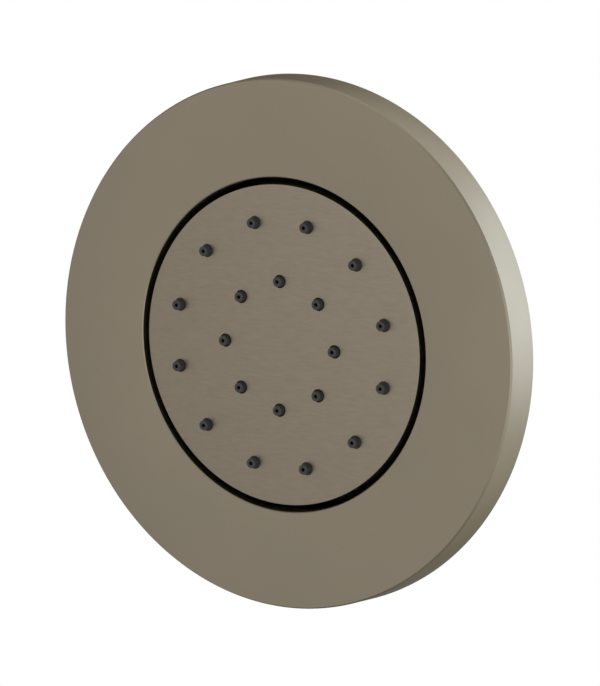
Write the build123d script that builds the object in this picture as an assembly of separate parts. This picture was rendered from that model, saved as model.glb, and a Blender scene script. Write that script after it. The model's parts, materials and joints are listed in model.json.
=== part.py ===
from build123d import *
import os
from math import acos, cos, degrees, radians, sin, sqrt, tan

# A round shower body jet, in millimetres. The spray head tilts on a ball joint inside a fixed trim ring.
# The jet's axis is Y: the front looks along -Y, the wall lies towards +Y, and +Z is up.
# The ball's centre is the origin, and at these sizes the finished wall's surface is the plane y = 0.

# Spray pattern: two rings of nubs, the outer one in four groups of three
inner_ring_r = 14.69
inner_count = 8
outer_ring_r = 28.36
outer_groups = 4
outer_step = 30.58
hole_r = 1.535

# Silicone mat and its nubs
mat_wall = 1.2
nub_root_r = 1.3
nub_tip_r = 1.08
nub_height = 2.1
nub_edge = 0.12
orifice_r = 0.48
orifice_length = 0.9
nub_inlet_r = 1.15

# Face plate
plate_wall = 1.6
pocket_margin = 2.54
face_rim = 5.6125
rim_depth = 3.7
face_edge = 0.12
face_crown = 1.1

# Waterway plate and head shell
waterway_wall = 1.4
feed_r = 1.5
chamber_depth = 1.5
chamber_ledge = 0.9
shell_wall = 1.8
shell_slope = 4.0
shell_inset = 0.35
rib_count = 8
rib_width = 1.6
rib_inset = 2.0
water_gap = 1.2461
water_passage = 2.0

# Screws that hold the head together
screw_count = 6
screw_r = 1.0
screw_head_r = 1.75
screw_length = 3.9
screw_recess = 0.45
screw_edge = 0.55

# O-ring between the shell and the face plate
head_ring_r = 0.45
head_groove_inset = 0.4

# Ball joint
ball_r = 7.0
ball_front = 5.4
liner_wall = 1.35
liner_back_angle = 55.0
liner_front_angle = 95.0
seal_ring_r = 0.75
seal_angle = 125.0
seal_lip = 0.6
seal_land = 0.76
hub_wall = 1.75
socket_wall = 1.95
hub_back = 3.2
nut_lip_angle = 50.0
nut_lip_wall = 0.47
nut_wall = 2.05
nut_gap = 0.32
tilt_limit = 10.0

# Ball nipple and its inlet
neck_r = 4.4
nipple_bore_r = 3.0
shank_r = 10.45
shank_bore_r = 5.5
hexagon_lip = 1.55
hexagon_height = 3.0
hexagon_proud = 1.0
relief_depth = 1.3
relief_length = 2.0
inlet_length = 14.0
inlet_chamfer = 1.0
insert_r = 7.5

# Clamp of the nipple in the housing
nipple_washer_wall = 1.0
lock_washer_wall = 1.2
lock_washer_lip = 4.2
lock_nut_height = 6.0
lock_nut_wall = 3.0
lock_nut_space = 1.0

# Flow regulator and inlet screen
regulator_height = 5.0
regulator_floor = 1.6
regulator_rim = 1.8
regulator_post_r = 1.9
regulator_post_height = 2.8
regulator_ring_r = 0.9
regulator_hole_r = 0.55
regulator_hole_count = 10
screen_rim_height = 1.2
screen_rim = 1.2
screen_height = 6.0
screen_tip_r = 1.6
screen_wall = 0.6
screen_slot_count = 8
screen_slot_width = 1.1
screen_slot_margin = 1.0

# Wall housing
housing_wall = 2.0
bowl_gap = 0.5
collar_wall = 2.2
collar_height = 2.6
boss_wall = 3.2
boss_floor = 3.0
wall_screw_r = 2.25
wall_screw_count = 4
flange_gap = 1.625
housing_rib_count = 8
housing_rib_width = 1.6
housing_rib_height = 1.6
housing_rib_inset = 1.2
housing_round = 1.5
gasket_wall = 1.5
gasket_inset = 0.6

# Trim ring
groove_gap = 1.5875
trim_band = 22.225
trim_depth = 8.92
trim_draft = 0.345
trim_wall = 2.4
trim_skirt = 2.2
trim_edge_width = 0.31
trim_edge_depth = 0.55
bore_edge = 0.22
trim_round = 1.2
sleeve_wall = 3.0
face_recess = 0.2

# O-ring on the trim's sleeve
grip_ring_r = 0.725
grip_groove_margin = 0.75

# Clearances
fit = 0.05
loose_fit = 0.15
ball_room = 0.3
collar_fit = 0.2
swing_room = 0.8

# Radii from the spray pattern outwards
pocket_r = outer_ring_r + pocket_margin
face_r = pocket_r + face_rim
bore_r = face_r + groove_gap
trim_r = bore_r + trim_band
trim_back_r = trim_r + trim_draft

# The ball's socket, whose spheres share the origin
liner_in_r = ball_r + fit
liner_out_r = liner_in_r + liner_wall
socket_r = liner_out_r + fit
thread_r = socket_r + socket_wall
seal_centre_r = ball_r + fit + seal_ring_r
seal_r = seal_centre_r * sin(radians(seal_angle))
seal_y = seal_centre_r * cos(radians(seal_angle))
seal_groove_front = seal_y - seal_ring_r - fit
seal_groove_back = seal_y + seal_ring_r + fit
seal_groove_r = seal_r + seal_ring_r + fit
land_back = seal_groove_back + seal_land
hub_front = seal_groove_front - seal_lip
hub_r = seal_groove_r + hub_wall
passage_r = hub_r + water_passage

# Levels along the jet's axis, from the hub forwards and then back to the wall
plate_back = hub_front - water_gap
face_y = plate_back - plate_wall
mat_back = plate_back + mat_wall
waterway_back = mat_back + waterway_wall
chamber_back = waterway_back + chamber_depth
shell_back = chamber_back + shell_wall
rim_back = face_y + rim_depth
flange_back = rim_back + shell_wall
front_y = face_y - face_recess
wall_y = front_y + trim_depth

# How far back the tilted head reaches: both tilts at their limits add up to one larger angle
corner_tilt = acos(cos(radians(tilt_limit)) ** 2)
shell_r = face_r - shell_inset
nut_back = socket_r * cos(radians(nut_lip_angle)) + nut_lip_wall
nut_flat_r = thread_r + fit + nut_wall
nut_corner_r = nut_flat_r / cos(radians(30))


def reach_back(r, y):
    return y * cos(corner_tilt) + r * sin(corner_tilt)


bowl_edge = reach_back(shell_r, flange_back) + swing_room
hexagon_front = reach_back(nut_flat_r, nut_back) + swing_room
hexagon_back = hexagon_front + hexagon_height
boss_front = hexagon_front + hexagon_proud
pocket_floor = hexagon_back + nipple_washer_wall
boss_back = pocket_floor + boss_floor
lock_nut_front = boss_back + lock_washer_wall
lock_nut_back = lock_nut_front + lock_nut_height
relief_front = lock_nut_back + lock_nut_space
relief_back = relief_front + relief_length
inlet_back = relief_back + inlet_length + inlet_chamfer
insert_front = relief_front
hexagon_flat_r = shank_r + hexagon_lip
boss_r = (hexagon_flat_r + loose_fit) / cos(radians(30)) + boss_wall

# Housing and trim, which meet at the collar and on the flange's front
gasket_front = wall_y - gasket_wall
housing_front = gasket_front - housing_wall
collar_front = housing_front - collar_height
sleeve_r = bore_r + sleeve_wall
collar_in_r = sleeve_r + collar_fit
collar_out_r = collar_in_r + collar_wall
bowl_in_r = bore_r + bowl_gap
bowl_out_r = bowl_in_r + housing_wall
housing_r = trim_r - trim_skirt - flange_gap
wall_screw_ring_r = (collar_out_r + housing_r) / 2
grip_y = housing_front - grip_groove_margin - grip_ring_r - fit
grip_groove_r = collar_in_r - 2 * grip_ring_r - 2 * fit


def polar(radius, angle):
    """A point of a half section, at an angle from the axis on its wall side."""
    return radius * sin(radians(angle)), radius * cos(radians(angle))


def at_height(radius, y):
    """The point of a sphere's half section at one level."""
    return sqrt(radius**2 - y**2), y


def arc(radius, start, end):
    """An arc of a sphere's half section between two of its points."""
    middle = Vector(*start) + Vector(*end)
    middle *= radius / middle.length
    return ThreePointArc(start, (middle.X, middle.Y), end)


def turned(*outline):
    """A solid of revolution about the jet's axis. The outline is a closed run of points and curves."""
    return revolve(make_face(outline), Axis.Y)


def turned_points(*points):
    return turned(Polyline(*points, close=True))


def ring(inner, outer, front, back):
    return turned_points((inner, front), (outer, front), (outer, back), (inner, back))


def o_ring(radius, section, y):
    return Pos(0, y, 0) * (Rot(90, 0, 0) * Torus(radius, section))


def prism(sketch, front, back):
    """A sketch in X and Z, drawn out along the jet's axis."""
    return extrude(Plane.XZ.offset(-back) * sketch, back - front)


def hexagon(flat_r, front, back):
    return prism(RegularPolygon(flat_r, 6, major_radius=False), front, back)


def round_holes(spots, radius, front, back):
    return prism(Sketch() + [Pos(*spot) * Circle(radius) for spot in spots], front, back)


def spot(radius, angle):
    """A place in X and Z, at an angle clockwise from the top as seen from the front."""
    return radius * sin(radians(angle)), radius * cos(radians(angle))


def spots(radius, count, start=0.0):
    return [spot(radius, start + 360 * k / count) for k in range(count)]


def ribs(count, width, inner, outer, front, back):
    """Straight radial ribs, evenly spaced, with none at the top."""
    rib = prism(Pos(0, (inner + outer) / 2) * Rectangle(width, outer - inner), front, back)
    return [Rot(0, 360 * (k + 0.5) / count, 0) * rib for k in range(count)]


def nozzle_spots():
    group = 360 / outer_groups
    outer = [spot(outer_ring_r, group * (k + 0.5) + outer_step * n)
             for k in range(outer_groups) for n in (-1, 0, 1)]
    return spots(inner_ring_r, inner_count) + outer


def screw_ring_r():
    return face_r - shell_inset - screw_edge - screw_head_r / 2 - screw_r / 2


def screw_spots():
    return spots(screw_ring_r(), screw_count, 180 / screw_count)


def face_plate():
    """The front is crowned, so that the middle stands a little before the edge."""
    edge_r = face_r - face_edge
    crown_r = (edge_r**2 + face_crown**2) / (2 * face_crown)
    top = (0, face_y - face_crown)
    middle = (edge_r / 2, face_y - face_crown + crown_r - sqrt(crown_r**2 - edge_r**2 / 4))
    edge = (edge_r, face_y)
    body = turned(
        ThreePointArc(top, middle, edge),
        Polyline(edge, (face_r, face_y + face_edge), (face_r, rim_back), (pocket_r, rim_back),
                 (pocket_r, plate_back), (0, plate_back), top))
    body -= round_holes(nozzle_spots(), hole_r, face_y - face_crown, plate_back)
    depth = screw_length - shell_wall + loose_fit
    return body - round_holes(screw_spots(), screw_r + fit, rim_back - depth, rim_back)


def nozzle_mat():
    tip = face_y - nub_height
    sheet = ring(passage_r, pocket_r - loose_fit, plate_back, mat_back)
    nub = turned_points(
        (0, tip), (nub_tip_r - nub_edge, tip), (nub_tip_r, tip + nub_edge), (nub_root_r, plate_back),
        (0, plate_back))
    waterway = turned_points(
        (0, tip), (orifice_r, tip), (orifice_r, tip + orifice_length), (nub_inlet_r, mat_back), (0, mat_back))
    places = [Pos(x, 0, z) for x, z in nozzle_spots()]
    return sheet + [place * nub for place in places] - [place * waterway for place in places]


def waterway_plate():
    plate = ring(passage_r, pocket_r - loose_fit, mat_back, waterway_back)
    return plate - round_holes(nozzle_spots(), feed_r, mat_back, waterway_back)


def head_shell():
    chamber_r = pocket_r - chamber_ledge
    slope_r = pocket_r + head_groove_inset
    equator = (socket_r, 0)
    socket_front = at_height(socket_r, land_back)
    land_r = at_height(ball_r + ball_room, land_back)[0]
    lip_r = seal_r - seal_ring_r / 2
    section = Polyline(
        socket_front, (land_r, land_back), (land_r, seal_groove_back), (seal_groove_r, seal_groove_back),
        (seal_groove_r, seal_groove_front), (lip_r, seal_groove_front), (lip_r, hub_front),
        (hub_r, hub_front), (hub_r, chamber_back), (chamber_r, chamber_back), (chamber_r, waterway_back),
        (pocket_r, waterway_back), (pocket_r, rim_back), (shell_r, rim_back), (shell_r, flange_back),
        (slope_r, flange_back), (slope_r - shell_slope, shell_back), (thread_r, shell_back),
        (thread_r, hub_back), (socket_r, hub_back), equator)
    shell = turned(section, arc(socket_r, equator, socket_front))
    rib_start, rib_end = passage_r + rib_inset, chamber_r - rib_inset
    shell += ribs(rib_count, rib_width, rib_start, rib_end, waterway_back, chamber_back)
    groove_in = pocket_r + head_groove_inset
    shell -= ring(
        groove_in, groove_in + 2 * head_ring_r + 2 * fit, rim_back, rim_back + 2 * head_ring_r + fit)
    return shell - head_screw_set(screw_head_r + fit, screw_r + fit)


def head_screw_set(head_r, shank, recess=0.0):
    """Countersunk screws, flush with the shell's back, or the holes that take them."""
    tip = flange_back - screw_length
    cone = head_r - shank
    screw = turned_points(
        (0, tip), (shank, tip), (shank, flange_back - cone), (head_r, flange_back), (0, flange_back))
    if recess:
        slot = Rectangle(2 * screw_r, recess) + Rectangle(recess, 2 * screw_r)
        screw -= prism(slot, flange_back - recess, flange_back)
    return Part() + [Pos(x, 0, z) * screw for x, z in screw_spots()]


def head_seal_ring():
    centre_r = pocket_r + head_groove_inset + head_ring_r + fit
    return o_ring(centre_r, head_ring_r, rim_back + head_ring_r + fit / 2)


def ball_nut():
    nut_front = shell_back + nut_gap
    lip_front = at_height(socket_r, hub_back)
    lip_back = polar(socket_r, nut_lip_angle)
    flare_r = lip_back[0] + nut_lip_wall
    bore = turned(
        Polyline(lip_back, (flare_r, nut_back), (0, nut_back), (0, nut_front), (thread_r + fit, nut_front),
                 (thread_r + fit, hub_back), lip_front),
        arc(socket_r, lip_front, lip_back))
    slope = (nut_corner_r - nut_flat_r) * tan(radians(30))
    corners = turned_points(
        (0, nut_front), (nut_corner_r, nut_front), (nut_corner_r, nut_back - slope), (nut_flat_r, nut_back),
        (0, nut_back))
    return (hexagon(nut_flat_r, nut_front, nut_back) & corners) - bore


def ball_liner():
    ends = [polar(r, angle) for r in (liner_in_r, liner_out_r)
            for angle in (liner_back_angle, liner_front_angle)]
    in_back, in_front, out_back, out_front = ends
    return turned(
        arc(liner_in_r, in_back, in_front), Line(in_front, out_front),
        arc(liner_out_r, out_front, out_back), Line(out_back, in_back))


def ball_seal():
    return o_ring(seal_r, seal_ring_r, seal_y)


def ball_nipple():
    ball_edge = at_height(ball_r, -ball_front)
    neck_start = (neck_r, sqrt(ball_r**2 - neck_r**2))
    taper = shank_bore_r - nipple_bore_r
    relief_r = shank_r - relief_depth
    section = Polyline(
        neck_start, (neck_r, hexagon_front), (shank_r, hexagon_front), (shank_r, relief_front),
        (relief_r, relief_front), (relief_r, relief_back), (shank_r, relief_back),
        (shank_r, inlet_back - inlet_chamfer), (shank_r - inlet_chamfer, inlet_back), (insert_r, inlet_back),
        (insert_r, insert_front), (shank_bore_r, insert_front), (shank_bore_r, boss_front + taper),
        (nipple_bore_r, boss_front), (nipple_bore_r, -ball_front), ball_edge)
    body = turned(section, arc(ball_r, ball_edge, neck_start))
    return body + (hexagon(hexagon_flat_r, hexagon_front, hexagon_back)
                   - prism(Circle(shank_r), hexagon_front, hexagon_back))


def nipple_washer():
    return ring(shank_r + fit, hexagon_flat_r - fit, hexagon_back, pocket_floor)


def lock_nut_washer():
    return ring(shank_r + fit, shank_r + lock_washer_lip, boss_back, lock_nut_front)


def lock_nut():
    flat_r = shank_r + lock_nut_wall
    corner_r = flat_r / cos(radians(30))
    slope = (corner_r - flat_r) * tan(radians(30))
    corners = turned_points(
        (0, lock_nut_front), (corner_r, lock_nut_front), (corner_r, lock_nut_back - slope),
        (flat_r, lock_nut_back), (0, lock_nut_back))
    nut = hexagon(flat_r, lock_nut_front, lock_nut_back) & corners
    return nut - prism(Circle(shank_r + fit), lock_nut_front, lock_nut_back)


def flow_regulator():
    out_r = insert_r - fit
    in_r = out_r - regulator_rim
    back = insert_front + regulator_height
    floor_back = insert_front + regulator_floor
    post_back = floor_back + regulator_post_height
    body = turned_points(
        (0, insert_front), (out_r, insert_front), (out_r, back), (in_r, back), (in_r, floor_back),
        (regulator_post_r, floor_back), (regulator_post_r, post_back), (0, post_back))
    hole_ring = (in_r + regulator_post_r + 2 * regulator_ring_r) / 2
    holes = round_holes(spots(hole_ring, regulator_hole_count), regulator_hole_r, insert_front, floor_back)
    return body - holes


def regulator_ring():
    y = insert_front + regulator_floor + fit + regulator_ring_r
    return o_ring(regulator_post_r + fit + regulator_ring_r, regulator_ring_r, y)


def inlet_screen():
    out_r = insert_r - fit
    cone_r = out_r - screen_rim
    front = insert_front + regulator_height
    rim_top = front + screen_rim_height
    tip = rim_top + screen_height
    cone = turned_points(
        (cone_r - screen_wall, front), (out_r, front), (out_r, rim_top), (cone_r, rim_top),
        (screen_tip_r, tip), (0, tip), (0, tip - screen_wall),
        (screen_tip_r - screen_wall, tip - screen_wall), (cone_r - screen_wall, rim_top))
    slot = prism(
        Pos(0, cone_r / 2) * Rectangle(screen_slot_width, cone_r),
        rim_top + screen_slot_margin, tip - screen_wall - screen_slot_margin)
    slots = [Rot(0, 360 * k / screen_slot_count, 0) * slot for k in range(screen_slot_count)]
    return cone - slots


def wall_housing():
    shank_hole_r = shank_r + loose_fit
    points = [
        (collar_in_r, collar_front), (collar_out_r, collar_front), (collar_out_r, housing_front),
        (housing_r, housing_front), (housing_r, gasket_front), (bowl_out_r, gasket_front),
        (bowl_out_r, bowl_edge + housing_wall), (boss_r, boss_front + housing_wall), (boss_r, boss_back),
        (shank_hole_r, boss_back), (shank_hole_r, boss_front), (boss_r, boss_front), (bowl_in_r, bowl_edge),
        (bowl_in_r, housing_front), (collar_in_r, housing_front)]
    rounded = {points.index((bowl_out_r, bowl_edge + housing_wall)): housing_wall + housing_round,
               points.index((bowl_in_r, bowl_edge)): housing_round}
    radii = [rounded.get(k, 0) for k in range(len(points))]
    body = turned(FilletPolyline(*points, radius=radii, close=True))
    body -= hexagon(hexagon_flat_r + loose_fit, boss_front, pocket_floor)
    body += ribs(
        housing_rib_count, housing_rib_width, collar_out_r - collar_wall / 2, housing_r - housing_rib_inset,
        housing_front - housing_rib_height, housing_front)
    return body - wall_screw_holes(housing_front, gasket_front)


def wall_screw_holes(front, back):
    places = spots(wall_screw_ring_r, wall_screw_count, 180 / wall_screw_count)
    return round_holes(places, wall_screw_r, front, back)


def wall_gasket():
    foam = ring(bowl_out_r + gasket_inset, housing_r - gasket_inset, gasket_front, wall_y)
    return foam - wall_screw_holes(gasket_front, wall_y)


def trim_ring():
    face_back = front_y + trim_wall
    points = [
        (bore_r + bore_edge, front_y), (trim_r - trim_edge_width, front_y),
        (trim_r, front_y + trim_edge_depth), (trim_back_r, wall_y), (trim_back_r - trim_skirt, wall_y),
        (trim_r - trim_skirt, face_back), (sleeve_r, face_back), (sleeve_r, housing_front),
        (bore_r, housing_front), (bore_r, front_y + bore_edge)]
    inner_corners = ((trim_r - trim_skirt, face_back),)
    radii = [trim_round if point in inner_corners else 0 for point in points]
    body = turned(FilletPolyline(*points, radius=radii, close=True))
    reach = grip_ring_r + fit
    return body - ring(grip_groove_r, sleeve_r + fit, grip_y - reach, grip_y + reach)


def trim_grip_ring():
    return o_ring(grip_groove_r + fit + grip_ring_r, grip_ring_r, grip_y)


nodes = {
    "trim_ring": trim_ring(),
    "trim_grip_ring": trim_grip_ring(),
    "wall_housing": wall_housing(),
    "wall_gasket": wall_gasket(),
    "ball_nipple": ball_nipple(),
    "nipple_washer": nipple_washer(),
    "lock_nut_washer": lock_nut_washer(),
    "lock_nut": lock_nut(),
    "flow_regulator": flow_regulator(),
    "regulator_ring": regulator_ring(),
    "inlet_screen": inlet_screen(),
    "ball_liner": ball_liner(),
    "ball_seal": ball_seal(),
    "face_plate": face_plate(),
    "nozzle_mat": nozzle_mat(),
    "waterway_plate": waterway_plate(),
    "head_shell": head_shell(),
    "head_seal_ring": head_seal_ring(),
    "head_screws": head_screw_set(screw_head_r, screw_r, screw_recess),
    "ball_nut": ball_nut(),
}

os.makedirs("parts", exist_ok=True)
for name, solid in nodes.items():
    export_step(solid, f"parts/{name}.step")
print("wall plane", round(wall_y, 4), "head's farthest corner", round(sqrt(face_r**2 + face_y**2), 3),
      "bore", round(bore_r, 3), "tilt at both limits", round(degrees(corner_tilt), 2))
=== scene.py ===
import json
import math
import bmesh
import bpy
from mathutils import Matrix, Vector


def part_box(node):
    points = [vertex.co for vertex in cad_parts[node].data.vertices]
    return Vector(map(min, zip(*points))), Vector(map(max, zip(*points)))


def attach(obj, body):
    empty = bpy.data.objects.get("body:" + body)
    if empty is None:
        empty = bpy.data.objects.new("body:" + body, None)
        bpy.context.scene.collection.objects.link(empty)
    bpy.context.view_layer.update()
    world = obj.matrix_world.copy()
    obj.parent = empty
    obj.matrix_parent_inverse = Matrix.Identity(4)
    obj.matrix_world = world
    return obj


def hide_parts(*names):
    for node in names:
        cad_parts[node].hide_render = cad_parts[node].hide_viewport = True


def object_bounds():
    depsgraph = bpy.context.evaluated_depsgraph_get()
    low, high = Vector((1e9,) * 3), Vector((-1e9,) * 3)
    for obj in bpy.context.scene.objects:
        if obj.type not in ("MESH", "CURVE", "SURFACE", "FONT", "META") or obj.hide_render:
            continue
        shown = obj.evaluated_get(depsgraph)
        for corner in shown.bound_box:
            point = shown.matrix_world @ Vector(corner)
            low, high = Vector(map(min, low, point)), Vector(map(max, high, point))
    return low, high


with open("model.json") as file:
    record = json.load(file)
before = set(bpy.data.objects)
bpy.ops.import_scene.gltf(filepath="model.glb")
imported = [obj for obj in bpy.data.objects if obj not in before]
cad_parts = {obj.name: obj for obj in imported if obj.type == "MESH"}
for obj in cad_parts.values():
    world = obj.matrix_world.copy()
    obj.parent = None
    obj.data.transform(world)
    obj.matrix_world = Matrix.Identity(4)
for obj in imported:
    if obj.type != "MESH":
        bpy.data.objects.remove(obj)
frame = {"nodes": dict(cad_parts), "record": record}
cadLow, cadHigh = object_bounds()
mm = 0.001
print("frame loaded,", len(frame["nodes"]), "CAD pieces")


# Small helpers

cleaning = {"weld": 0.0005, "cadWeld": 0.002, "flatAngle": 0.5, "creaseAngle": 32}  # mm and degrees


def toLinear(hexColour):  # sRGB hex to Blender's linear colour
    channels = [int(hexColour[k:k + 2], 16) / 255 for k in (1, 3, 5)]
    return (*[c / 12.92 if c <= 0.04045 else ((c + 0.055) / 1.055) ** 2.4 for c in channels], 1.0)


def setSockets(tree, node, sockets):  # values and incoming links; a list holds several for one socket
    for key, value in sockets.items():
        for item in value if isinstance(value, list) else [value]:
            if isinstance(item, bpy.types.NodeSocket):
                tree.links.new(item, node.inputs[key])
            else:
                node.inputs[key].default_value = item


def addNode(tree, kind, sockets=None, **settings):  # one node with its settings and its sockets
    node = tree.nodes.new(kind)
    for name, value in settings.items():
        setattr(node, name, value)
    setSockets(tree, node, sockets or {})
    return node


def nodeBox(node):  # a CAD piece's corners in millimetres
    low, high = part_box(node)
    return low / mm, high / mm


def rounded(corners, steps=6):  # (radius, y) corners in mm; a third number rounds that corner
    points = []
    for k, corner in enumerate(corners):
        here = Vector(corner[:2])
        if len(corner) < 3:
            points.append(here)
            continue
        size = corner[2]
        before = (Vector(corners[k - 1][:2]) - here).normalized()
        after = (Vector(corners[(k + 1) % len(corners)][:2]) - here).normalized()
        half = before.angle(after) / 2
        centre = here + (before + after).normalized() * size / math.sin(half)
        start = here + before * size / math.tan(half) - centre
        end = here + after * size / math.tan(half) - centre
        first = math.atan2(start.y, start.x)
        turn = (math.atan2(end.y, end.x) - first + math.pi) % (2 * math.pi) - math.pi
        for s in range(steps + 1):
            angle = first + turn * s / steps
            points.append(centre + size * Vector((math.cos(angle), math.sin(angle))))
    return points


def shade(bm):  # smooth faces, with creases kept where the form turns
    for face in bm.faces:
        face.smooth = True
    for edge in bm.edges:
        edge.smooth = edge.calc_face_angle(0) < math.radians(cleaning["creaseAngle"])


def makeObject(name, bm):
    mesh = bpy.data.meshes.new(name)
    bm.to_mesh(mesh)
    bm.free()
    piece = bpy.data.objects.new(name, mesh)
    bpy.context.scene.collection.objects.link(piece)
    return piece


def lathe(name, outline, segments):  # a closed outline of (radius, y) in mm, turned about the jet's axis
    bm = bmesh.new()
    rings = []
    for radius, y in outline:
        count = segments if radius > 0 else 1  # a point on the axis is one vertex
        turns = [2 * math.pi * k / segments for k in range(count)]
        places = [(radius * mm * math.cos(t), y * mm, radius * mm * math.sin(t)) for t in turns]
        rings.append([bm.verts.new(place) for place in places])
    for a, b in zip(rings, rings[1:] + rings[:1]):
        if len(a) == len(b) == 1:
            continue
        for k in range(segments):
            n = (k + 1) % segments
            corners = [a[k % len(a)], a[n % len(a)], b[n % len(b)], b[k % len(b)]]
            bm.faces.new(list(dict.fromkeys(corners)))
    bmesh.ops.recalc_face_normals(bm, faces=bm.faces)
    shade(bm)
    return makeObject(name, bm)


def bake(piece):  # the evaluated result as a plain mesh, with the modifiers taken off
    evaluated = piece.evaluated_get(bpy.context.evaluated_depsgraph_get())
    mesh = bpy.data.meshes.new_from_object(evaluated)
    piece.modifiers.clear()
    piece.data = mesh
    bm = bmesh.new()
    bm.from_mesh(mesh)
    bmesh.ops.remove_doubles(bm, verts=bm.verts, dist=cleaning["weld"] * mm)
    shade(bm)
    bm.to_mesh(mesh)
    bm.free()


def newTree(name, sizes):  # a Geometry Nodes tree with named inputs
    tree = bpy.data.node_groups.new(name, "GeometryNodeTree")
    tree.interface.new_socket("Geometry", in_out="INPUT", socket_type="NodeSocketGeometry")
    for label, kind in sizes.items():
        tree.interface.new_socket(label, in_out="INPUT", socket_type="NodeSocket" + kind)
    tree.interface.new_socket("Geometry", in_out="OUTPUT", socket_type="NodeSocketGeometry")
    return tree, tree.nodes.new("NodeGroupInput").outputs, tree.nodes.new("NodeGroupOutput").inputs


def endTree(tree, geometry, finish, result):  # every tree ends in plain geometry with its material
    real = addNode(tree, "GeometryNodeRealizeInstances", {0: geometry})
    dressed = addNode(tree, "GeometryNodeSetMaterial", {"Geometry": real.outputs[0], "Material": finish})
    tree.links.new(dressed.outputs[0], result["Geometry"])


def useTree(piece, tree, values):  # every input is set by its identifier before the piece is evaluated
    modifier = piece.modifiers.new(tree.name, "NODES")
    modifier.node_group = tree
    for item in tree.interface.items_tree:
        if item.in_out == "INPUT" and item.name in values:
            modifier[item.identifier] = values[item.name]
    bake(piece)


slotOf = {part["node"]: part["material_slot"] for part in frame["record"]["subparts"]}
bodyOf = {node: body for body, nodes in frame["record"]["behaviour"]["bodies"].items() for node in nodes}


def settle(piece, node, material):  # the piece stands for its CAD node, on the same body and slot
    piece.data.materials.clear()
    piece.data.materials.append(material)
    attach(piece, bodyOf[node])
    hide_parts(node)


# Materials, with the sizes of grains, cells and marks in mm

def newMaterial(name):
    material = bpy.data.materials.new(name)
    material.use_nodes = True
    tree = material.node_tree
    shader = tree.nodes["Principled BSDF"]
    place = tree.nodes.new("ShaderNodeTexCoord").outputs["Object"]
    return material, tree, shader, place


def perMetre(size):  # a noise scale from the size of its grains in mm
    return 1000 / size


# What the two nickel finishes share: a matt tooth, which shades itself at low angles
satinTooth = {"Metallic": 1.0, "Specular Tint": (0.28, 0.28, 0.28, 1.0)}
satinRing = {"dark": "#736C5D", "light": "#7A7163", "grain": 0.5, "cloud": 18.0,
             "roughness": 0.42, "roughSpread": 0.03}


def makeSatinRing(v):
    # Nickel plate blasted with fine glass bead: an even, soft sheen with a very fine tooth.
    # Bead marks of 0.05 mm wouldn't show, so the grain is drawn at 0.5 mm.
    material, tree, shader, place = newMaterial("satinBeadBlastedNickel")
    grain = addNode(tree, "ShaderNodeTexNoise", {
        "Vector": place, "Scale": perMetre(v["grain"]), "Detail": 2.0})
    cloud = addNode(tree, "ShaderNodeTexNoise", {
        "Vector": place, "Scale": perMetre(v["cloud"]), "Detail": 3.0})
    blend = addNode(tree, "ShaderNodeMath", {0: grain.outputs["Fac"], 1: cloud.outputs["Fac"]},
                    operation="ADD")
    tone = addNode(tree, "ShaderNodeMapRange", {"Value": blend.outputs[0], "From Min": 0.5, "From Max": 1.5})
    colour = addNode(tree, "ShaderNodeMix", {
        "Factor": tone.outputs[0], "A": toLinear(v["dark"]), "B": toLinear(v["light"])}, data_type="RGBA")
    rough = addNode(tree, "ShaderNodeMapRange", {
        "Value": grain.outputs["Fac"],
        "To Min": v["roughness"] - v["roughSpread"], "To Max": v["roughness"] + v["roughSpread"]})
    setSockets(tree, shader, {"Base Color": colour.outputs[2], "Roughness": rough.outputs[0], **satinTooth})
    return material


satinFace = {"dark": "#736B5D", "light": "#7A7164", "streakWidth": 0.4, "streakLength": 2.8,
             "roughness": 0.42, "roughSpread": 0.03}


def makeSatinFace(v):
    # Nickel plate brushed left to right on a fine belt: faint short streaks across the disc.
    # A belt's 0.03 mm scratches wouldn't show, so the streaks are drawn 0.4 mm wide.
    material, tree, shader, place = newMaterial("satinBrushedNickel")
    along, across = perMetre(v["streakLength"]), perMetre(v["streakWidth"])
    streak = addNode(tree, "ShaderNodeMapping", {"Vector": place, "Scale": (along, across, across)})
    lines = addNode(tree, "ShaderNodeTexNoise", {"Vector": streak.outputs[0], "Scale": 1.0, "Detail": 3.0})
    tone = addNode(tree, "ShaderNodeMapRange", {
        "Value": lines.outputs["Fac"], "From Min": 0.25, "From Max": 0.75})
    colour = addNode(tree, "ShaderNodeMix", {
        "Factor": tone.outputs[0], "A": toLinear(v["dark"]), "B": toLinear(v["light"])}, data_type="RGBA")
    rough = addNode(tree, "ShaderNodeMapRange", {
        "Value": lines.outputs["Fac"],
        "To Min": v["roughness"] + v["roughSpread"], "To Max": v["roughness"] - v["roughSpread"]})
    setSockets(tree, shader, {"Base Color": colour.outputs[2], "Roughness": rough.outputs[0], **satinTooth})
    return material


silicone = {"dark": "#222222", "light": "#2B2B2A", "skin": 0.6, "relief": 0.02,
            "roughness": 0.55, "ior": 1.41}


def makeSilicone(v):
    # Moulded silicone rubber: dull dark grey, a little lighter where the mould's skin has rubbed.
    material, tree, shader, place = newMaterial("mouldedSilicone")
    skin = addNode(tree, "ShaderNodeTexNoise", {"Vector": place, "Scale": perMetre(v["skin"]), "Detail": 3.0})
    colour = addNode(tree, "ShaderNodeMix", {
        "Factor": skin.outputs["Fac"], "A": toLinear(v["dark"]), "B": toLinear(v["light"])}, data_type="RGBA")
    bump = addNode(tree, "ShaderNodeBump", {
        "Height": skin.outputs["Fac"], "Distance": v["relief"] * mm, "Strength": 0.5})
    setSockets(tree, shader, {"Base Color": colour.outputs[2], "Normal": bump.outputs[0],
                              "Roughness": v["roughness"], "IOR": v["ior"]})
    return material


rubber = {"dark": "#141414", "light": "#262625", "bloom": 3.0, "roughness": 0.5, "ior": 1.52}


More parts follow.
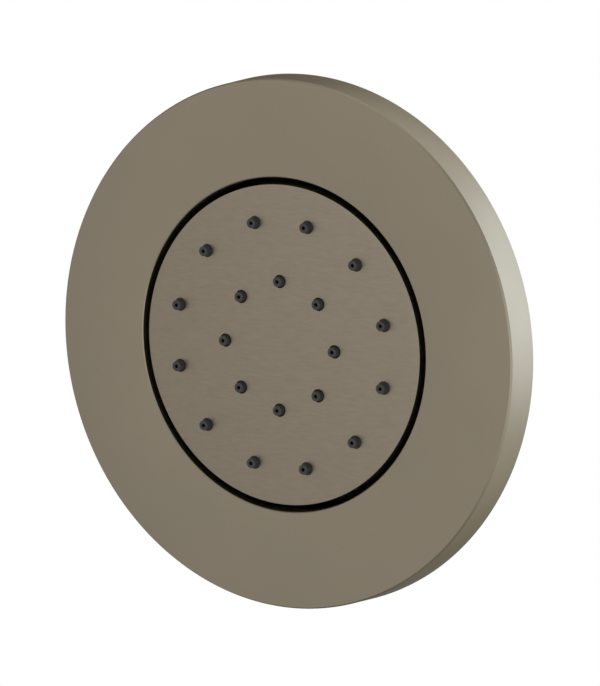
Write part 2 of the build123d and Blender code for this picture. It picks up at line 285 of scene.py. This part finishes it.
def makeRubber(v):
    # Nitrile rubber, moulded smooth: nearly black with a faint bloom.
    material, tree, shader, place = newMaterial("nitrileRubber")
    bloom = addNode(tree, "ShaderNodeTexNoise", {
        "Vector": place, "Scale": perMetre(v["bloom"]), "Detail": 4.0})
    colour = addNode(tree, "ShaderNodeMix", {
        "Factor": bloom.outputs["Fac"], "A": toLinear(v["dark"]), "B": toLinear(v["light"])},
        data_type="RGBA")
    setSockets(tree, shader, {"Base Color": colour.outputs[2], "Roughness": v["roughness"], "IOR": v["ior"]})
    return material


foam = {"dark": "#191918", "light": "#343331", "cell": 0.7, "relief": 0.15, "roughness": 0.85, "gloss": 0.25}


def makeFoam(v):
    # Closed-cell foam rubber cut from sheet: small burst cells all over the cut faces.
    material, tree, shader, place = newMaterial("closedCellFoam")
    cells = addNode(tree, "ShaderNodeTexVoronoi", {"Vector": place, "Scale": perMetre(v["cell"])})
    tone = addNode(tree, "ShaderNodeMapRange", {"Value": cells.outputs["Distance"], "From Max": 0.8})
    colour = addNode(tree, "ShaderNodeMix", {
        "Factor": tone.outputs[0], "A": toLinear(v["dark"]), "B": toLinear(v["light"])}, data_type="RGBA")
    bump = addNode(tree, "ShaderNodeBump", {
        "Height": cells.outputs["Distance"], "Distance": v["relief"] * mm})
    setSockets(tree, shader, {"Base Color": colour.outputs[2], "Normal": bump.outputs[0],
                              "Roughness": v["roughness"], "Specular IOR Level": v["gloss"]})
    return material


plasticMould = {"flow": 25.0, "relief": 0.03, "ior": 1.49}  # what all the mouldings share
plastics = {
    "black_plastic": {"name": "blackAcetal", "dark": "#151515", "light": "#1C1C1B",
                      "grain": 0.4, "roughness": 0.6, "gloss": 0.25},
    "grey_plastic": {"name": "greyPolypropylene", "dark": "#7E8083", "light": "#8C8E90",
                     "grain": 0.5, "roughness": 0.45, "gloss": 0.5},
    "white_plastic": {"name": "whiteAcetal", "dark": "#C9C8C1", "light": "#D6D5CE",
                      "grain": 0.6, "roughness": 0.45, "gloss": 0.5},
}


def makePlastic(v):
    # Injection-moulded plastic: the spark-eroded mould leaves a fine even grain.
    material, tree, shader, place = newMaterial(v["name"])
    grain = addNode(tree, "ShaderNodeTexNoise", {
        "Vector": place, "Scale": perMetre(v["grain"]), "Detail": 2.0})
    flow = addNode(tree, "ShaderNodeTexNoise", {"Vector": place, "Scale": perMetre(v["flow"]), "Detail": 2.0})
    colour = addNode(tree, "ShaderNodeMix", {
        "Factor": flow.outputs["Fac"], "A": toLinear(v["dark"]), "B": toLinear(v["light"])}, data_type="RGBA")
    bump = addNode(tree, "ShaderNodeBump", {
        "Height": grain.outputs["Fac"], "Distance": v["relief"] * mm, "Strength": 0.6})
    setSockets(tree, shader, {"Base Color": colour.outputs[2], "Normal": bump.outputs[0],
                              "Roughness": v["roughness"], "Specular IOR Level": v["gloss"], "IOR": v["ior"]})
    return material


metalTurning = {"tarnish": 9.0, "relief": 0.02, "roughSpread": 0.08}  # what both metals share
metals = {
    "bare_brass": {"name": "turnedBrass", "dark": "#94733A", "light": "#B9985C",
                   "tooling": 0.25, "roughness": 0.38},
    "stainless_steel": {"name": "tumbledStainlessSteel", "dark": "#757470", "light": "#918F8B",
                        "tooling": 0.2, "roughness": 0.48},
}


def makeTurnedMetal(v):
    # Turned metal: the tool leaves fine rings round the axis and across the faced ends.
    # The steel is tumbled afterwards, which dulls it.
    material, tree, shader, place = newMaterial(v["name"])
    split = addNode(tree, "ShaderNodeSeparateXYZ", {0: place})
    flat = addNode(tree, "ShaderNodeCombineXYZ", {"X": split.outputs["X"], "Z": split.outputs["Z"]})
    radius = addNode(tree, "ShaderNodeVectorMath", {0: flat.outputs[0]}, operation="LENGTH")
    path = addNode(tree, "ShaderNodeCombineXYZ", {"X": radius.outputs["Value"], "Y": split.outputs["Y"]})
    marks = addNode(tree, "ShaderNodeTexNoise", {
        "Vector": path.outputs[0], "Scale": perMetre(v["tooling"]), "Detail": 3.0})
    tarnish = addNode(tree, "ShaderNodeTexNoise", {
        "Vector": place, "Scale": perMetre(v["tarnish"]), "Detail": 4.0})
    blend = addNode(tree, "ShaderNodeMath", {0: marks.outputs["Fac"], 1: tarnish.outputs["Fac"]},
                    operation="MULTIPLY")
    tone = addNode(tree, "ShaderNodeMapRange", {"Value": blend.outputs[0], "From Min": 0.1, "From Max": 0.45})
    colour = addNode(tree, "ShaderNodeMix", {
        "Factor": tone.outputs[0], "A": toLinear(v["dark"]), "B": toLinear(v["light"])}, data_type="RGBA")
    rough = addNode(tree, "ShaderNodeMapRange", {
        "Value": marks.outputs["Fac"],
        "To Min": v["roughness"] + v["roughSpread"], "To Max": v["roughness"] - v["roughSpread"]})
    bump = addNode(tree, "ShaderNodeBump", {
        "Height": marks.outputs["Fac"], "Distance": v["relief"] * mm, "Strength": 0.4})
    setSockets(tree, shader, {"Base Color": colour.outputs[2], "Roughness": rough.outputs[0],
                              "Normal": bump.outputs[0], "Metallic": 1.0})
    return material


ringNickel = makeSatinRing(satinRing)
faceNickel = makeSatinFace(satinFace)
finishes = {
    "nub_silicone": makeSilicone(silicone),
    "black_rubber": makeRubber(rubber),
    "foam_rubber": makeFoam(foam),
    **{slot: makePlastic({**plasticMould, **values}) for slot, values in plastics.items()},
    **{slot: makeTurnedMetal({**metalTurning, **values}) for slot, values in metals.items()},
}
print("materials made:", len(finishes) + 2)


# Trim ring: one casting, with its front corners eased by polishing
trimRing = {
    "edgeWidth": 0.31, "edgeDepth": 0.55, "boreEdge": 0.22, "softening": 0.08,  # the broken front corners
    "draft": 0.367, "skirt": 2.2, "wall": 2.4, "innerRound": 1.2, "backRound": 0.2,
    "bore": 38.1, "sleeveWall": 3.0, "sleeveLength": 5.42, "sleeveRound": 0.4,
    "segments": 360,
}


def makeTrimRing(v):
    low, high = nodeBox("trim_ring")
    front, wall, backR = low.y, high.y, high.x
    faceR, faceBack = backR - v["draft"], front + v["wall"]
    boreR, sleeveR, sleeveEnd = v["bore"], v["bore"] + v["sleeveWall"], front + v["sleeveLength"]
    soft, back = v["softening"], v["backRound"]
    outline = rounded([
        (boreR, front + v["boreEdge"], soft), (boreR + v["boreEdge"], front, soft),
        (faceR - v["edgeWidth"], front, soft), (faceR, front + v["edgeDepth"], soft),
        (backR, wall, back), (backR - v["skirt"], wall, back),
        (faceR - v["skirt"], faceBack, v["innerRound"]), (sleeveR, faceBack, v["sleeveRound"]),
        (sleeveR, sleeveEnd, back), (boreR, sleeveEnd, back),
    ])
    settle(lathe("trimRing", outline, v["segments"]), "trim_ring", ringNickel)


makeTrimRing(trimRing)
print("trim ring turned")


# Spray pattern, shared by the face plate's holes and the mat's nubs:
# a full inner ring, and outer groups of three
sprayPattern = {
    "Inner Radius": 14.69 * mm, "Inner Count": 8,
    "Outer Radius": 28.36 * mm, "Outer Groups": 4, "Outer Step": math.radians(30.58),
}
patternSockets = {name: "Int" if isinstance(value, int) else "Float" for name, value in sprayPattern.items()}


def makePattern():
    tree, sizes, result = newTree("sprayPattern", patternSockets)
    inner = addNode(tree, "GeometryNodeMeshCircle", {
        "Vertices": sizes["Inner Count"], "Radius": sizes["Inner Radius"]})
    outer = addNode(tree, "GeometryNodeMeshCircle", {
        "Vertices": sizes["Outer Groups"], "Radius": sizes["Outer Radius"]})
    upright = addNode(tree, "GeometryNodeTransform", {
        "Geometry": inner.outputs[0], "Rotation": (math.pi / 2, 0, 0)})
    rings = [upright.outputs[0]]
    halfTurn = addNode(tree, "ShaderNodeMath", {0: math.pi, 1: sizes["Outer Groups"]}, operation="DIVIDE")
    for side in (-1.0, 0.0, 1.0):  # a group's middle nub lies between the axes, with one a step to each side
        angle = addNode(tree, "ShaderNodeMath", {0: sizes["Outer Step"], 1: side, 2: halfTurn.outputs[0]},
                        operation="MULTIPLY_ADD")
        turn = addNode(tree, "ShaderNodeCombineXYZ", {"X": math.pi / 2, "Y": angle.outputs[0]})
        turned = addNode(tree, "GeometryNodeTransform", {
            "Geometry": outer.outputs[0], "Rotation": turn.outputs[0]})
        rings.append(turned.outputs[0])
    joined = addNode(tree, "GeometryNodeJoinGeometry", {0: rings})
    tree.links.new(joined.outputs[0], result["Geometry"])
    return tree


pattern = makePattern()


def onPattern(tree, sizes, what):  # an object from the tree's inputs, set at every place of the pattern
    sockets = {name: sizes[name] for name in patternSockets}
    places = addNode(tree, "GeometryNodeGroup", sockets, node_tree=pattern)
    one = addNode(tree, "GeometryNodeObjectInfo", {"Object": sizes[what]})
    copies = addNode(tree, "GeometryNodeInstanceOnPoints", {
        "Points": places.outputs[0], "Instance": one.outputs["Geometry"]})
    return addNode(tree, "GeometryNodeRealizeInstances", {0: copies.outputs[0]}).outputs[0]


# Face plate: a shallow cup with a gently domed front and a hole for each nub
facePlate = {
    "crown": 1.1, "edge": 0.12, "plate": 1.6, "pocketR": 30.9, "backRound": 0.15,
    "holeR": 1.535, "drillLead": 1.0,  # the drill starts this far in front of the dome
    "domeSteps": 24, "segments": 256, "holeSegments": 64,
}


def makeFacePlate(v):
    low, high = nodeBox("face_plate")
    front, faceR, back = low.y, high.x, high.y
    edgeLevel = front + v["crown"]
    plateBack = edgeLevel + v["plate"]
    domeEdge = faceR - v["edge"]
    domeR = (domeEdge ** 2 + v["crown"] ** 2) / (2 * v["crown"])
    rings = [domeEdge * k / v["domeSteps"] for k in range(v["domeSteps"] + 1)]
    dome = [(radius, front + domeR - math.sqrt(domeR ** 2 - radius ** 2)) for radius in rings]
    soft, pocketR, holeR, drillTip = v["backRound"], v["pocketR"], v["holeR"], front - v["drillLead"]
    rim = rounded([(0, edgeLevel), (faceR, edgeLevel, v["edge"]), (faceR, back, soft), (pocketR, back, soft),
                   (pocketR, plateBack, soft), (0, plateBack)])[2:]  # the dome brings the first two points
    plate = lathe("facePlate", dome + rim, v["segments"])
    drill = lathe("nubDrill", [(0, drillTip), (holeR, drillTip), (holeR, back), (0, back)], v["holeSegments"])

    tree, sizes, result = newTree("facePerforations", {
        **patternSockets, "Drill": "Object", "Finish": "Material"})
    cut = addNode(tree, "GeometryNodeMeshBoolean", {
        "Mesh 1": sizes["Geometry"], "Mesh 2": onPattern(tree, sizes, "Drill")},
        operation="DIFFERENCE", solver="EXACT")
    endTree(tree, cut.outputs[0], sizes["Finish"], result)
    useTree(plate, tree, {**sprayPattern, "Drill": drill, "Finish": faceNickel})
    bpy.data.objects.remove(drill)
    settle(plate, "face_plate", faceNickel)


makeFacePlate(facePlate)
print("face plate drilled")


# Nozzle mat: one silicone moulding, whose nubs stand through the plate
nozzleMat = {
    "sheet": 1.2, "holeR": 10.6, "sheetRound": 0.15,
    "collarR": 1.49, "collarDrop": 0.76, "collarRound": 0.05,  # collars end just under the plate's front
    "neckR": 1.32, "tipR": 1.13, "tipRound": 0.15, "rootDepth": 0.3,
    "orificeR": 0.45, "orificeEdge": 0.02, "orificeDepth": 0.9, "inletR": 1.15,
    "coreLead": 0.5,  # the core pins reach this far out of both ends
    "segments": 128, "nubSegments": 48, "coreSegments": 32,
}


def makeNozzleMat(v):
    low, high = nodeBox("nozzle_mat")
    tip, back, sheetR = low.y, high.y, high.x
    sheetFront, root = back - v["sheet"], back - v["rootDepth"]
    collarTop = nodeBox("face_plate")[0].y + v["collarDrop"]
    soft, lead, mouthR = v["sheetRound"], v["coreLead"], v["orificeR"] + v["orificeEdge"] + v["coreLead"]
    mat = lathe("nozzleMat", rounded([
        (v["holeR"], sheetFront, soft), (sheetR, sheetFront, soft),
        (sheetR, back, soft), (v["holeR"], back, soft)], steps=3), v["segments"])
    nub = lathe("nubMould", rounded([
        (0, tip), (v["tipR"], tip, v["tipRound"]), (v["neckR"], collarTop),
        (v["collarR"], collarTop, v["collarRound"]), (v["collarR"], root), (0, root)],
        steps=5), v["nubSegments"])
    core = lathe("nubCore", [
        (0, tip - lead), (mouthR, tip - lead), (v["orificeR"], tip + v["orificeEdge"]),
        (v["orificeR"], tip + v["orificeDepth"]), (v["inletR"], back), (v["inletR"], back + lead),
        (0, back + lead)], v["coreSegments"])

    tree, sizes, result = newTree("nozzleNubs", {
        **patternSockets, "Nub": "Object", "Core": "Object", "Finish": "Material"})
    moulded = addNode(tree, "GeometryNodeMeshBoolean", {
        "Mesh 2": [sizes["Geometry"], onPattern(tree, sizes, "Nub")]}, operation="UNION", solver="EXACT")
    cored = addNode(tree, "GeometryNodeMeshBoolean", {
        "Mesh 1": moulded.outputs[0], "Mesh 2": onPattern(tree, sizes, "Core")},
        operation="DIFFERENCE", solver="EXACT")
    endTree(tree, cored.outputs[0], sizes["Finish"], result)
    finish = finishes["nub_silicone"]
    useTree(mat, tree, {**sprayPattern, "Nub": nub, "Core": core, "Finish": finish})
    bpy.data.objects.remove(nub)
    bpy.data.objects.remove(core)
    settle(mat, "nozzle_mat", finish)


makeNozzleMat(nozzleMat)
print("nozzle mat moulded")


# Finished copies of CAD solids: the same forms, smoothed, with their edges eased by these widths in mm
easedEdges = {
    "wall_housing": 0.25, "wall_gasket": 0.12, "lock_nut": 0.2, "lock_nut_washer": 0.15, "inlet_screen": 0.08,
    "head_shell": 0.15, "ball_nut": 0.2, "head_screws": 0.05, "ball_nipple": 0.12,
}
easing = {"segments": 2, "angle": 35}


def smoothCopy(node):
    bm = bmesh.new()
    bm.from_mesh(frame["nodes"][node].data)
    bmesh.ops.remove_doubles(bm, verts=bm.verts, dist=cleaning["cadWeld"] * mm)
    flatAngle = math.radians(cleaning["flatAngle"])
    bmesh.ops.dissolve_limit(bm, angle_limit=flatAngle, verts=bm.verts, edges=bm.edges)
    shade(bm)
    first, *rest = node.split("_")
    return makeObject(first + "".join(word.capitalize() for word in rest), bm)


def easeEdges(piece, width):
    bevel = piece.modifiers.new("easedEdges", "BEVEL")
    bevel.width = width * mm
    bevel.segments = easing["segments"]
    bevel.limit_method = "ANGLE"
    bevel.angle_limit = math.radians(easing["angle"])
    bake(piece)


# Half-inch parallel pipe thread on the nipple, cut as a lathe does:
# one right-hand groove with 55 degree flanks
pipeThread = {
    "Radius": 10.45 * mm, "Pitch": 1.814 * mm, "Depth": 1.16 * mm, "Crest": 0.36 * mm,
    "Proud": 0.2 * mm,  # the cutter stands this far out of the crests
    "Start": 19.0 * mm, "Length": 24.0 * mm,
}
flankSlope = math.tan(math.radians(27.5))
helixSteps = 64


def cutThread(piece, finish):
    lengths = {name: "Float" for name in pipeThread}
    tree, sizes, result = newTree("pipeThread", {**lengths, "Finish": "Material"})

    # the tool's path, half way between the groove's root and the cutter's outside
    turns = addNode(tree, "ShaderNodeMath", {0: sizes["Length"], 1: sizes["Pitch"]}, operation="DIVIDE")
    inset = addNode(tree, "ShaderNodeMath", {0: sizes["Proud"], 1: sizes["Depth"]}, operation="SUBTRACT")
    pathRadius = addNode(tree, "ShaderNodeMath", {0: inset.outputs[0], 1: 0.5, 2: sizes["Radius"]},
                         operation="MULTIPLY_ADD")
    helix = addNode(tree, "GeometryNodeCurveSpiral", {
        "Resolution": helixSteps, "Rotations": turns.outputs[0], "Start Radius": pathRadius.outputs[0],
        "End Radius": pathRadius.outputs[0], "Height": sizes["Length"], "Reverse": True})
    upright = addNode(tree, "GeometryNodeSetCurveNormal", {"Curve": helix.outputs[0]}, mode="Z_UP")

    # the groove's section, wide at the cutter's outside and narrow at the root
    mouth = addNode(tree, "ShaderNodeMath", {0: sizes["Pitch"], 1: sizes["Crest"]}, operation="SUBTRACT")
    outside = addNode(tree, "ShaderNodeMath", {0: sizes["Proud"], 1: 2 * flankSlope, 2: mouth.outputs[0]},
                      operation="MULTIPLY_ADD")
    root = addNode(tree, "ShaderNodeMath", {0: sizes["Depth"], 1: -2 * flankSlope, 2: mouth.outputs[0]},
                   operation="MULTIPLY_ADD")
    height = addNode(tree, "ShaderNodeMath", {0: sizes["Depth"], 1: sizes["Proud"]}, operation="ADD")
    groove = addNode(tree, "GeometryNodeCurvePrimitiveQuadrilateral", {
        "Height": height.outputs[0], "Bottom Width": outside.outputs[0], "Top Width": root.outputs[0],
        "Offset": 0.0}, mode="TRAPEZOID")
    facing = addNode(tree, "GeometryNodeTransform", {
        "Geometry": groove.outputs[0], "Rotation": (0, 0, math.pi / 2)})

    # the swept cutter, laid along the jet's axis and taken out of the shank
    cutter = addNode(tree, "GeometryNodeCurveToMesh", {
        "Curve": upright.outputs[0], "Profile Curve": facing.outputs[0], "Fill Caps": True})
    start = addNode(tree, "ShaderNodeCombineXYZ", {"Y": sizes["Start"]})
    placed = addNode(tree, "GeometryNodeTransform", {
        "Geometry": cutter.outputs[0], "Translation": start.outputs[0], "Rotation": (-math.pi / 2, 0, 0)})
    cut = addNode(tree, "GeometryNodeMeshBoolean", {"Mesh 1": sizes["Geometry"], "Mesh 2": placed.outputs[0]},
                  operation="DIFFERENCE", solver="EXACT")
    endTree(tree, cut.outputs[0], sizes["Finish"], result)
    useTree(piece, tree, {**pipeThread, "Finish": finish})


for node, width in easedEdges.items():
    piece = smoothCopy(node)
    finish = finishes[slotOf[node]]
    easeEdges(piece, width)
    if node == "ball_nipple":
        cutThread(piece, finish)
    settle(piece, node, finish)
print("housing and fittings finished:", len(easedEdges))


# Inner pieces that stay as the CAD made them get their finishes
innerPieces = ("trim_grip_ring", "nipple_washer", "flow_regulator", "regulator_ring",
               "ball_liner", "ball_seal", "waterway_plate", "head_seal_ring")
for node in innerPieces:
    slots = frame["nodes"][node].data.materials
    slots.clear()
    slots.append(finishes[slotOf[node]])
print("inner pieces finished:", len(innerPieces))


# Studio: a white room with soft lights behind to draw the rim, weaker ones in front, beside and above,
# and grey cards on the left and below that take some of the room away
studio = {
    "roomShade": 0.7,  # the white room as matt surfaces receive it; metal and glass see it white
    "lights": [  # each with the cosine of its half width, and white where no tint is given
        {"towards": (0.50, 0.86, 0.14), "edge": 0.82, "level": 3.95, "tint": (1.0, 1.22, 1.54)},  # right
        {"towards": (0.13, 0.86, -0.49), "edge": 0.80, "level": 1.42, "tint": (1.0, 1.07, 1.16)},  # low
        {"towards": (-0.03, 0.78, 0.62), "edge": 0.82, "level": 1.52, "tint": (1.0, 1.09, 1.24)},  # high
        {"towards": (-0.20, -0.97, 0.10), "edge": 0.80, "level": 0.67},  # in front
        {"towards": (0.95, -0.27, -0.12), "edge": 0.75, "level": 1.5},  # beside
        {"towards": (-0.08, 0.08, 0.99), "edge": 0.85, "level": 0.65},  # above
        {"towards": (-0.62, 0.77, -0.10), "edge": 0.74, "level": -0.7},  # grey card, left
        {"towards": (-0.02, 0.30, -0.95), "edge": 0.72, "level": -0.7},  # grey card, below
    ],
}
white = (1.0, 1.0, 1.0)


def makeStudio(v):
    scene = bpy.context.scene
    scene.view_settings.view_transform = "Standard"
    world = bpy.data.worlds.new("studio")
    world.use_nodes = True
    world.cycles.sampling_method = "NONE"  # light sampling doesn't know the kinds of ray used below
    scene.world = world
    tree = world.node_tree
    tree.nodes.clear()
    ray = addNode(tree, "ShaderNodeLightPath").outputs
    towards = addNode(tree, "ShaderNodeTexCoord").outputs["Generated"]
    total = addNode(tree, "ShaderNodeMapRange", {
        "Value": ray["Is Diffuse Ray"], "To Min": 1.0, "To Max": v["roomShade"]}).outputs[0]
    for light in v["lights"]:  # each light fades smoothly from its middle to its edge
        middle = Vector(light["towards"]).normalized()
        along = addNode(tree, "ShaderNodeVectorMath", {0: towards, 1: middle}, operation="DOT_PRODUCT")
        fade = addNode(tree, "ShaderNodeMapRange", {
            "Value": along.outputs["Value"], "From Min": light["edge"], "To Max": light["level"]},
            interpolation_type="SMOOTHSTEP")
        tinted = addNode(tree, "ShaderNodeVectorMath", {
            0: light.get("tint", white), "Scale": fade.outputs[0]}, operation="SCALE")
        added = addNode(tree, "ShaderNodeVectorMath", {0: total, 1: tinted.outputs[0]}, operation="ADD")
        total = added.outputs[0]
    room = addNode(tree, "ShaderNodeBackground", {"Color": total, "Strength": 1.0})
    backdrop = addNode(tree, "ShaderNodeBackground", {"Color": (*white, 1.0), "Strength": 1.0})
    mix = addNode(tree, "ShaderNodeMixShader", {
        0: ray["Is Camera Ray"], 1: room.outputs[0], 2: backdrop.outputs[0]})
    addNode(tree, "ShaderNodeOutputWorld", {0: mix.outputs[0]})


makeStudio(studio)


# Floor: white paper far below, since the jet hangs on a wall; it glows a little for all but matt surfaces
paperFloor = {
    "drop": 2.0, "halfWidth": 0.6,  # metres
    "dark": "#F2F2F2", "light": "#FAFAFA", "fibre": 2.0, "roughness": 0.9, "glow": 0.75,
}


def makeFloor(v):
    bm = bmesh.new()
    bmesh.ops.create_grid(bm, x_segments=8, y_segments=8, size=v["halfWidth"])
    for vert in bm.verts:
        vert.co.z = cadLow.z - v["drop"]
    floor = makeObject("floor", bm)
    material, tree, shader, place = newMaterial("whitePaperSweep")
    fibre = addNode(tree, "ShaderNodeTexNoise", {"Vector": place, "Scale": perMetre(v["fibre"])})
    colour = addNode(tree, "ShaderNodeMix", {
        "Factor": fibre.outputs["Fac"], "A": toLinear(v["dark"]), "B": toLinear(v["light"])},
        data_type="RGBA")
    setSockets(tree, shader, {"Base Color": colour.outputs[2], "Roughness": v["roughness"]})
    ray = addNode(tree, "ShaderNodeLightPath").outputs
    share = addNode(tree, "ShaderNodeMapRange", {
        "Value": ray["Is Diffuse Ray"], "To Min": v["glow"], "To Max": 0.0})
    glow = addNode(tree, "ShaderNodeEmission", {"Color": (*white, 1.0), "Strength": 1.0})
    both = addNode(tree, "ShaderNodeMixShader", {
        0: share.outputs[0], 1: shader.outputs[0], 2: glow.outputs[0]})
    tree.links.new(both.outputs[0], tree.nodes["Material Output"].inputs[0])
    floor.data.materials.append(material)


makeFloor(paperFloor)
print("studio lit")


# Camera: the photograph's own angle, a long lens from the front right and a little above
photoCamera = {
    "azimuth": 33.19, "elevation": 9.33, "roll": 0.087,  # degrees
    "distance": 1142.0, "aside": 4.186, "above": 0.566,  # mm, from the middle of the trim's face
    "lens": 265.96, "sensor": 36.0, "nearest": 50.0, "farthest": 50000.0,
}


def makeCamera(v):
    a, e, roll = (math.radians(v[name]) for name in ("azimuth", "elevation", "roll"))
    back = Vector((math.sin(a) * math.cos(e), -math.cos(a) * math.cos(e), math.sin(e)))
    level = Vector((math.cos(a), math.sin(a), 0))
    plumb = back.cross(level)
    right = level * math.cos(roll) + plumb * math.sin(roll)
    up = plumb * math.cos(roll) - level * math.sin(roll)
    faceCentre = Vector((0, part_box("trim_ring")[0].y, 0))
    data = bpy.data.cameras.new("photoCamera")
    data.lens = v["lens"]
    data.sensor_width = v["sensor"]
    data.sensor_fit = "AUTO"  # the sensor spans the image's longer side
    data.clip_start = v["nearest"] * mm
    data.clip_end = v["farthest"] * mm
    camera = bpy.data.objects.new("photoCamera", data)
    bpy.context.scene.collection.objects.link(camera)
    camera.location = faceCentre + (right * v["aside"] + up * v["above"] + back * v["distance"]) * mm
    camera.rotation_euler = Matrix((right, up, back)).transposed().to_euler()
    bpy.context.scene.camera = camera


makeCamera(photoCamera)
print("camera set")
